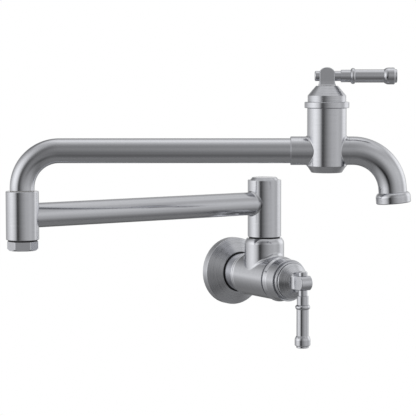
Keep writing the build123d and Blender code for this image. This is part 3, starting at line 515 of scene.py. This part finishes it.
# shank and barrel in one outline, and the tee that carries the post
valveBody = {
    "barrelRadius": 19.8,
    "outline": [
        (13.45, 5, 0.2), (18, 5, 0.3), (18, 29.5, 0.15), (19.9, 29.5, 0.3), (19.9, 30.3, 0.3),
        (19.6, 31, 0.4), (19.6, 31.8, 0.3), (20.1, 32.2, 0.4), (20.1, 33.3, 0.9), (19.8, 34.1, 1.2),
        (19.8, 80.5, 0.4), (15, 80.5, 0.15), (15, 88.5, 0.3), (13.1, 88.5, 0.2), (13.1, 77.1, 0.1),
        (12.1, 77.1, 0.1), (12.1, 47.1, 0.1), (6.5, 47.1, 0.1), (6.5, 22.05, 0.1), (13.45, 22.05, 0.1),
    ],
    "around": 128,
    "tee": {
        "radius": 18.5,
        "blend": 4.5,
        "blendSteps": 8,
        "sink": 1.0,
        "around": 128,
        "outline": [
            (18.5, 30.6, 0), (18.5, 33.7, 7.5), (16.2, 36.2, 0.25), (10, 36.2, 0.2), (10, 24.2, 0.1),
            (8, 24.2, 0.1), (8, 13, 0),
        ],
    },
}
teeLine = straightLine(postFoot, (0, 0, 1), np.cross((0, -1, 0), (0, 0, 1)))
makePiece(
    "valveBody",
    [
        turnedSurface(inletLine, roundedOutline(valveBody["outline"]), valveBody["around"]),
        branchSurface(teeLine, valveBody["barrelRadius"], valveBody["tee"]),
    ],
    turnedSteel, "wall_valve", ["valve_body"],
)

trimRing = {
    "outline": [
        (15.05, 80.5, 0.1), (18.7, 80.5, 0.1), (18.7, 83.8, 0.15), (20.8, 83.8, 0.8), (20.8, 84.8, 1.6),
        (19.25, 87.7, 3), (19.25, 98.5, 0.25), (15.05, 98.5, 0.1),
    ],
    "steps": 8,
    "around": 128,
}
makeTurned("wallTrimRing", inletLine, trimRing, turnedSteel, "wall_valve",
           "wall_trim_ring")

bonnet = {
    "outline": [
        (15, 98.5, 0.1), (16.9, 98.5, 0.1), (16.9, 99, 0.1), (17.8, 99, 0.2), (17.7, 102, 0.8),
        (15.5, 102, 0.2), (15.5, 102.6, 0.15), (16.4, 102.6, 0.15), (16.4, 103.4, 2), (9.4, 110.7, 0.4),
        (4.9, 110.7, 0.2), (4.9, 108.1, 0.1), (7.5, 108.1, 0.1), (12.4, 103, 0.1), (12.4, 91.2, 0.1),
        (15, 91.2, 0.1),
    ],
    "around": 128,
}
makeTurned("wallBonnet", inletLine, bonnet, facedSteel, "wall_valve", "wall_bonnet")

post = {
    "outline": [
        (15.6, 37.4, 0.5), (15.6, 90.5, 0.5), (13.35, 90.5, 0.2), (13.35, 84.7, 0.1), (11, 84.7, 0.1),
        (11, 37.4, 0.2),
    ],
    "around": 128,
}
postCap = {
    "outline": [(0, 89.1, 0), (13.3, 89.1, 0.1), (13.3, 90.55, 0.1), (11.3, 92.9, 0.5), (0, 92.9, 0)],
    "closed": False,
    "around": 128,
}
makeTurned("swivelPost", postLine, post, turnedSteel, "inner_arm", "swivel_post")
makeTurned("postCap", postLine, postCap, turnedSteel, "inner_arm", "post_cap")

innerArm = {
    "radius": 10.65,
    "bore": 9.15,
    "postRadius": 15.62,  # its ends lie a hair outside the post's skin and the knuckle's
    "knuckleRadius": 14.27,
    "flare": 1.2,
    "reach": 2.0,
    "around": 96,
    "rows": 60,
}


def saddleTube(tube):
    # a tube whose ends lie on two upright cylinders: at angle a its end stands sqrt(R^2 - (r sin a)^2) off
    # the cylinder's axis, where r sin a is how far the wall there lies to the side of the tube's axis. The
    # outer wall swells by flare * (1 - d / reach)^2 at a distance d from the post, as a filled joint does
    angle = np.linspace(0, 2 * math.pi, tube["around"], endpoint=False)
    share = (1 - np.cos(np.linspace(0, math.pi, tube["rows"])[:, None])) / 2
    length = layout["innerArm"] - tube["postRadius"] - tube["knuckleRadius"]
    swell = np.clip(1 - share * length / tube["reach"], 0, 1)
    lean = 2 * tube["flare"] / tube["reach"] * swell
    walls = []
    for radius, way, flare in ((tube["radius"], 1, 1), (tube["bore"], -1, 0)):
        width = radius + flare * tube["flare"] * swell**2
        aside = width * np.sin(angle)
        near = np.sqrt(tube["postRadius"] ** 2 - aside**2)
        far = layout["innerArm"] - np.sqrt(tube["knuckleRadius"] ** 2 - aside**2)
        run = near + (far - near) * share
        height = layout["armHeight"] + width * np.cos(angle)
        place = np.stack([-run, -layout["postReach"] + aside, height], -1)
        normal = np.stack([-flare * lean + 0 * run, np.sin(angle) + 0 * run, np.cos(angle) + 0 * run], -1)
        walls.append((place[::way], way * normal[::way]))
    points, normals = (np.concatenate(part) for part in zip(*walls))
    return gridSurface(points, normals)


makePiece("innerArmTube", [saddleTube(innerArm)], tubeSteel, "inner_arm",
          ["inner_arm_tube"])

knuckle = {
    "outline": [(14.25, 48.2, 0.7), (14.25, 90.1, 0.7), (9, 90.1, 0.3), (9, 48.2, 0.3)],
    "around": 128,
}
makeTurned("knuckleBody", knuckleLine, knuckle, turnedSteel, "inner_arm",
           "knuckle_body")

outerArm = {
    "radius": 10.65,
    "bore": 9.15,
    "foot": 90.7,
    "elbow": 32.0,
    "tubeEnd": 239.6,  # from the knuckle's axis
    "around": 96,
    "rows": 200,
}
outerLine = straightLine(knuckleFoot, (0, 0, 1), outerWay)
outerLine.update(lead=armLevel - outerArm["elbow"], radius=outerArm["elbow"], angle=math.pi / 2)


def tubeSurface(line, tube, start, end, lip=0.15, steps=4):
    # out along the outer wall, over a lip of that rounding, back along the bore and over the other lip
    outer, bore = tube["radius"], tube["bore"]
    corners = [(outer, start, lip), (outer, end, lip), (bore, end, lip), (bore, start, lip)]
    ends = roundedOutline(corners, steps)
    first, third = steps + 1, 3 * (steps + 1)
    wall = np.linspace(start + 2 * lip, end - 2 * lip, tube["rows"])
    outside = np.stack([0 * wall + outer, wall, 0 * wall + 1, 0 * wall], -1)
    inside = np.stack([0 * wall + bore, wall[::-1], 0 * wall - 1, 0 * wall], -1)
    outline = np.concatenate([ends[:first], outside, ends[first:third], inside, ends[third:]])
    return turnedSurface(line, outline, tube["around"])


armEnd = outerLine["lead"] + outerArm["elbow"] * math.pi / 2 + outerArm["tubeEnd"] - outerArm["elbow"]
makePiece("outerArmTube", [tubeSurface(outerLine, outerArm, outerArm["foot"], armEnd)],
          tubeSteel, "outer_arm", ["outer_arm_tube"])

# the spout body with the socket of the outer arm and the boss of the spout tube
spoutBody = {
    "radius": 16.8,
    "outline": [
        (0, -18.6, 0), (13, -18.6, 0.6), (16.8, -12.9, 0.5), (16.8, 36.4, 0.3), (15, 36.4, 0.1),
        (15, 44.4, 0.3), (13.1, 44.4, 0.2), (13.1, 33, 0.1), (12.1, 33, 0.1), (12.1, 3, 0.1), (0, 3, 0),
    ],
    "around": 128,
    "socket": {
        "radius": 12.2,
        "blend": 1.5,
        "blendSteps": 6,
        "sink": 1.6,
        "around": 96,
        "outline": [
            (12.2, 19.5, 0), (12.2, 31, 0.6), (10.7, 31, 0.3), (10.7, 21, 0.1), (5, 21, 0.1), (5, 14, 0),
        ],
    },
    "outletBoss": {
        "radius": 12.15,
        "blend": 1.5,
        "blendSteps": 6,
        "sink": 1.6,
        "around": 96,
        "outline": [(12.15, 18.6, 0), (12.15, 19, 0.05), (3.5, 19, 0.1), (3.5, 13.5, 0)],
    },
}
socketLine = straightLine(spoutFoot, -outerWay, np.cross((0, 0, 1), -outerWay))
outletLine = straightLine(spoutFoot, outerWay, np.cross((0, 0, 1), outerWay))
makePiece(
    "spoutBody",
    [
        turnedSurface(spoutLine, roundedOutline(spoutBody["outline"], closed=False), spoutBody["around"],
                      loop=False),
        branchSurface(socketLine, spoutBody["radius"], spoutBody["socket"]),
        branchSurface(outletLine, spoutBody["radius"], spoutBody["outletBoss"]),
    ],
    turnedSteel, "outer_arm", ["spout_body"],
)

spoutBand = {
    "outline": [(15.05, 36.4, 0.1), (19.1, 36.4, 0.6), (19.1, 41.6, 0.6), (15.05, 41.6, 0.1)],
    "around": 128,
}
spoutCone = {
    "outline": [
        (16.4, 41.6, 0.1), (16.4, 47, 0.4), (9.4, 55.2, 0.4), (4.9, 55.2, 0.2), (4.9, 52.6, 0.1),
        (7.4, 52.6, 0.1), (12.4, 47.4, 0.1), (12.4, 44.45, 0.1), (15.05, 44.45, 0.1), (15.05, 41.6, 0.1),
    ],
    "around": 128,
}
makeTurned("spoutTrimRing", spoutLine, spoutBand, turnedSteel, "outer_arm",
           "spout_trim_ring")
makeTurned("spoutBonnet", spoutLine, spoutCone, facedSteel, "outer_arm",
           "spout_bonnet")

spoutTube = {
    "radius": 12.15,
    "bore": 10.15,
    "start": 19.0,
    "bendStart": 22.3,
    "bend": 34.0,
    "angle": 85.0,
    "drop": 4.5,  # straight run from the bend to the collar
    "insert": 3.0,  # how far the tube goes into the collar
    "around": 112,
    "rows": 90,
}
spoutRun = straightLine(spoutFoot, outerWay, (0, 0, -1))
spoutRun.update(lead=spoutTube["bendStart"], radius=spoutTube["bend"],
                angle=math.radians(spoutTube["angle"]))
collarStart = spoutTube["bendStart"] + spoutTube["bend"] * spoutRun["angle"] + spoutTube["drop"]
spoutEnd = collarStart + spoutTube["insert"]
makePiece("spoutTube", [tubeSurface(spoutRun, spoutTube, spoutTube["start"], spoutEnd)],
          tubeSteel, "outer_arm", ["spout_tube"])

collar = {
    "outline": [  # stations from the collar's own start
        (12.5, 0, 0.15), (14.9, 1.28, 4.37), (14.9, 9.3, 0.95), (10.4, 9.3, 0.3), (10.4, 5.4, 0.1),
        (12.2, 5.4, 0.1), (12.2, 0, 0.1),
    ],
    "steps": 8,
    "around": 128,
}
collarOutline = roundedOutline(collar["outline"], collar["steps"])
collarOutline[:, 1] += collarStart
makePiece("outletCollar", [turnedSurface(spoutRun, collarOutline, collar["around"])],
          turnedSteel, "outer_arm", ["outlet_collar"])

# both levers, with stations along the lever from its valve's axis
lever = {
    "wallStation": 119.0,  # the wall lever's axis in front of the wall
    "spoutHeight": 63.5,  # the spout lever's axis above the outer arm
    "rod": [(0, -9, 0), (2, -9, 0.2), (2, 6.5, 0.1), (4.3, 6.5, 0.2), (4.3, 11.7, 0.2), (3, 11.7, 0.1),
            (3, 54.3, 0.2), (0, 54.3, 0)],
    "nut": [(0, -10.5, 0), (4.3, -10.5, 1.2), (4.3, -6.5, 0.15), (0, -6.5, 0)],
    "sleeve": [(3.05, 11.7, 0.1), (5.3, 11.7, 0.35), (5.3, 20.1, 0.3), (3.05, 20.1, 0.1)],
    "collar": [(3.05, 20.1, 0.1), (5.6, 20.1, 0.1), (9.35, 22.1, 2.27), (5.6, 24.1, 0.1), (3.05, 24.1, 0.1)],
    "grip": [(3.05, 24.1, 0.1), (5.6, 24.1, 0.1), (5.6, 48.3, 0.05), (3.05, 48.3, 0.1)],
    "cap": [(0, 54.3, 0), (3.05, 54.3, 0.1), (3.05, 48.3, 0.1), (5.6, 48.3, 0.1), (7.2, 50.04, 6.05),
            (7.2, 56.8, 0.25), (6.4, 57.6, 0.15), (5.7, 57.6, 0.15), (5.7, 59.4, 0.5), (0, 59.4, 0)],
    "around": 64,
    "steps": 8,
}


def makeLever(prefix, line, riding):
    # the lever's turned pieces: sleeve, collar and grip are rings on the rod, the others reach its axis
    for part in ("sleeve", "collar", "grip", "cap", "rod", "nut"):
        shape = {"outline": lever[part], "steps": lever["steps"], "around": lever["around"],
                 "closed": part in ("sleeve", "collar", "grip")}
        makeTurned(f"{prefix}Lever{part.capitalize()}", line, shape, leverSteel, riding,
                   f"{prefix}_lever_{part}")


makeLever("wall", straightLine((0, -lever["wallStation"], 0), (0, 0, -1), (0, 1, 0)), "wall_handle")
makeLever("spout", straightLine(spoutFoot + [0, 0, lever["spoutHeight"]], outerWay, -acrossOuter),
          "spout_handle")

studio = {
    "floorDrop": -1.4,
    "floorRadius": 0.9,
    "floorSides": 96,
    "floorTone": (0.36, 0.36, 0.36),
    "floorRoughness": 0.8,
    "backdrop": 1.0,  # brightness of the white that the camera sees behind the tap
    "dimmest": 0.01,  # no direction is darker than this
    "roomScale": 1.2,  # the room's curve is drawn as shares of this brightness
    # brightness of the room by height above the horizon, in degrees
    "room": [(-90, 0.262), (-65, 0.252), (-50, 0.242), (-38, 0.313), (-26, 0.454), (-14, 0.535), (0, 0.68),
             (15, 0.751), (30, 0.645), (50, 0.572), (70, 0.708), (90, 1.085)],
    # each panel: compass direction and height of its middle, half width, half height, how soft its sides and
    # its ends are, all in degrees, and how much light it adds or, where it is a dark screen, takes away
    "panels": {
        "leftWindow": (-71.5, 4.2, 34.2, 34.0, 39.7, 35.0, 0.8),
        "rightStrip": (92.0, 13.7, 21.0, 22.8, 10.8, 12.2, 0.62),
        "darkScreen": (-127.9, 8.9, 5.1, 36.4, 50.0, 45.0, -1.148),
        "backScreen": (-3.5, 25.1, 36.1, 23.8, 50.0, 6.0, -0.42),
        "backShade": (12.0, 32.0, 12.0, 10.0, 20.0, 8.0, -0.16),
        "ceilingPanel": (33.6, 69.0, 63.1, 8.2, 35.0, 45.0, 0.7),
        "ceilingEdge": (137.5, 55.0, 40.8, 2.2, 7.6, 17.9, 0.42),
        "lowScreen": (-42.4, -19.7, 80.1, 13.8, 7.0, 10.4, -0.226),
        "windowEdge": (-117.0, 0.0, 4.0, 30.0, 14.0, 25.0, -0.42),
        "underShade": (40.0, -28.0, 18.0, 18.0, 12.0, 10.0, -0.12),
        "frontFill": (150.0, 0.0, 10.0, 40.0, 14.0, 20.0, 0.09),
        "horizonGlow": (32.5, 6.5, 30.0, 3.0, 15.0, 4.0, 0.45),
        "flangeShade": (-166.0, -28.0, 10.0, 16.0, 12.0, 14.0, -0.22),
    },
}


def makeFloor():
    # a round floor well below the tap
    rim = np.linspace(0, 2 * math.pi, studio["floorSides"], endpoint=False)
    ring = np.stack([np.cos(rim) * studio["floorRadius"], np.sin(rim) * studio["floorRadius"],
                     0 * rim + studio["floorDrop"]], -1)
    mesh = bpy.data.meshes.new("studioFloor")
    mesh.from_pydata(ring.tolist(), [], [tuple(range(studio["floorSides"]))])
    paint = bpy.data.materials.new("floorPaint")
    paint.use_nodes = True
    shader = paint.node_tree.nodes["Principled BSDF"]
    shader.inputs["Base Color"].default_value = (*studio["floorTone"], 1)
    shader.inputs["Roughness"].default_value = studio["floorRoughness"]
    mesh.materials.append(paint)
    floor = bpy.data.objects.new("studioFloor", mesh)
    bpy.context.scene.collection.objects.link(floor)


def softStep(tree, value, fromMin, fromMax):
    # 0 at fromMin, 1 at fromMax and a smooth rise between them
    node = tree.nodes.new("ShaderNodeMapRange")
    node.interpolation_type = "SMOOTHSTEP"
    for socketName, given in zip(("Value", "From Min", "From Max"), (value, fromMin, fromMax)):
        tree.links.new(given, node.inputs[socketName])
    return node.outputs[0]


def makeSoftPanel():
    # a panel's light fades smoothly across a band as wide as its softness on either side of its half size
    names = ("Azimuth", "Elevation", "Toward", "Height", "Half Width", "Half Height", "Side Softness",
             "End Softness", "Brightness")
    group, given, made = newGroup(
        "softPanel", [(name, "NodeSocketFloat", 0.0) for name in names], [("Light", "NodeSocketFloat")])
    azimuth, elevation, toward, height, halfWidth, halfHeight, sideSoft, endSoft, bright = (
        given.outputs[name] for name in names)
    around = group.nodes.new("ShaderNodeMath")
    around.operation = "WRAP"
    group.links.new(mathNode(group, "SUBTRACT", azimuth, toward), around.inputs[0])
    around.inputs[1].default_value, around.inputs[2].default_value = 180.0, -180.0
    aside = mathNode(group, "ABSOLUTE", around.outputs[0])
    above = mathNode(group, "ABSOLUTE", mathNode(group, "SUBTRACT", elevation, height))
    across = softStep(group, aside, mathNode(group, "ADD", halfWidth, sideSoft),
                      mathNode(group, "SUBTRACT", halfWidth, sideSoft))
    along = softStep(group, above, mathNode(group, "ADD", halfHeight, endSoft),
                     mathNode(group, "SUBTRACT", halfHeight, endSoft))
    group.links.new(mathNode(group, "MULTIPLY", mathNode(group, "MULTIPLY", across, along), bright),
                    made.inputs["Light"])
    return group


def makeRoomCurve(tree, elevation):
    # the room's brightness from straight down, at the curve's left end, to straight up
    share = tree.nodes.new("ShaderNodeMapRange")
    share.inputs["From Min"].default_value, share.inputs["From Max"].default_value = -90, 90
    tree.links.new(elevation, share.inputs["Value"])
    room = tree.nodes.new("ShaderNodeFloatCurve")
    curve = room.mapping.curves[0]
    stops = [((degrees + 90) / 180, brightness / studio["roomScale"])
             for degrees, brightness in studio["room"]]
    curve.points[0].location, curve.points[1].location = stops[0], stops[-1]
    for stop in stops[1:-1]:
        curve.points.new(*stop)
    room.mapping.update()
    tree.links.new(share.outputs[0], room.inputs["Value"])
    return mathNode(tree, "MULTIPLY", room.outputs[0], studio["roomScale"])


def makeStudioLight():
    # the room's light and every panel's, summed by direction; the camera itself sees a plain backdrop
    world = bpy.data.worlds.new("studioRoom")
    bpy.context.scene.world = world
    world.use_nodes = True
    tree = world.node_tree
    look = tree.nodes.new("ShaderNodeTexCoord")
    split = tree.nodes.new("ShaderNodeSeparateXYZ")
    tree.links.new(look.outputs["Generated"], split.inputs[0])
    azimuth = mathNode(tree, "DEGREES", mathNode(tree, "ARCTAN2", split.outputs[0], split.outputs[1]))
    elevation = mathNode(tree, "DEGREES", mathNode(tree, "ARCSINE", split.outputs[2]))
    light = makeRoomCurve(tree, elevation)
    softPanel = makeSoftPanel()
    for panelName, sizes in studio["panels"].items():
        panel = tree.nodes.new("ShaderNodeGroup")
        panel.node_tree = softPanel
        panel.name = panelName
        tree.links.new(azimuth, panel.inputs["Azimuth"])
        tree.links.new(elevation, panel.inputs["Elevation"])
        for socket, value in zip(list(panel.inputs)[2:], sizes):
            socket.default_value = value
        light = mathNode(tree, "ADD", light, panel.outputs[0])
    light = mathNode(tree, "MAXIMUM", light, studio["dimmest"])
    rays = tree.nodes.new("ShaderNodeLightPath")
    backdrop = tree.nodes.new("ShaderNodeMix")
    tree.links.new(rays.outputs["Is Camera Ray"], backdrop.inputs[0])
    tree.links.new(light, backdrop.inputs[2])
    backdrop.inputs[3].default_value = studio["backdrop"]
    background = tree.nodes["Background"]
    background.inputs["Color"].default_value = (1, 1, 1, 1)
    tree.links.new(backdrop.outputs[0], background.inputs["Strength"])


makeFloor()
makeStudioLight()
bpy.context.scene.view_settings.view_transform = "Standard"
print("studio:", len(studio["panels"]), "panels")
